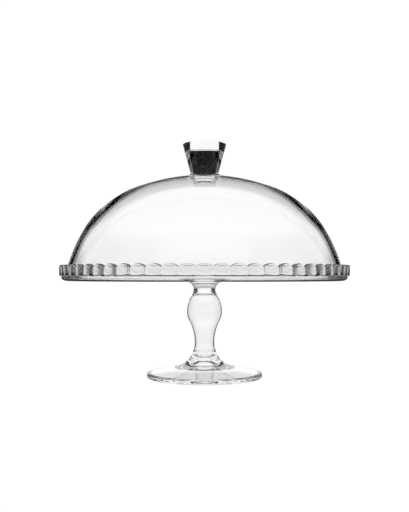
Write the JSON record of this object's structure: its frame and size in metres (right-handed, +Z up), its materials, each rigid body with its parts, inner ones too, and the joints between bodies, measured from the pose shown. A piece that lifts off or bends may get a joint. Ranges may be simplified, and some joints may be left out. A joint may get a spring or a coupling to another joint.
{
  "type": "cake stand with dome",
  "caption": "Clear glass footed cake stand with a scalloped rim, a hollow baluster stem and a lift-off domed cover with a tapered solid glass knob.",
  "frame": {"origin": "centre of the foot's resting plane", "axes": "+Z up, from the table towards the knob; the object is round about Z, and one flute of the rim is centred on +X"},
  "size_m": [0.322, 0.322, 0.2624],
  "materials": {
    "stand_glass": "clear pressed and blown soda-lime glass, fire polished",
    "dome_glass": "clear blown soda-lime glass, smooth",
    "knob_glass": "clear solid glass, flat polished top"
  },
  "bodies": {
    "stand": {"foot": "stand_glass", "stem": "stand_glass", "plate": "stand_glass"},
    "cover": {"dome": "dome_glass", "knob": "knob_glass"}
  },
  "joints": [
    {"name": "dome_lift", "type": "slide", "parent": "stand", "child": "cover", "axis": [0, 0, 1], "range_m": [0, 0.2]}
  ]
}
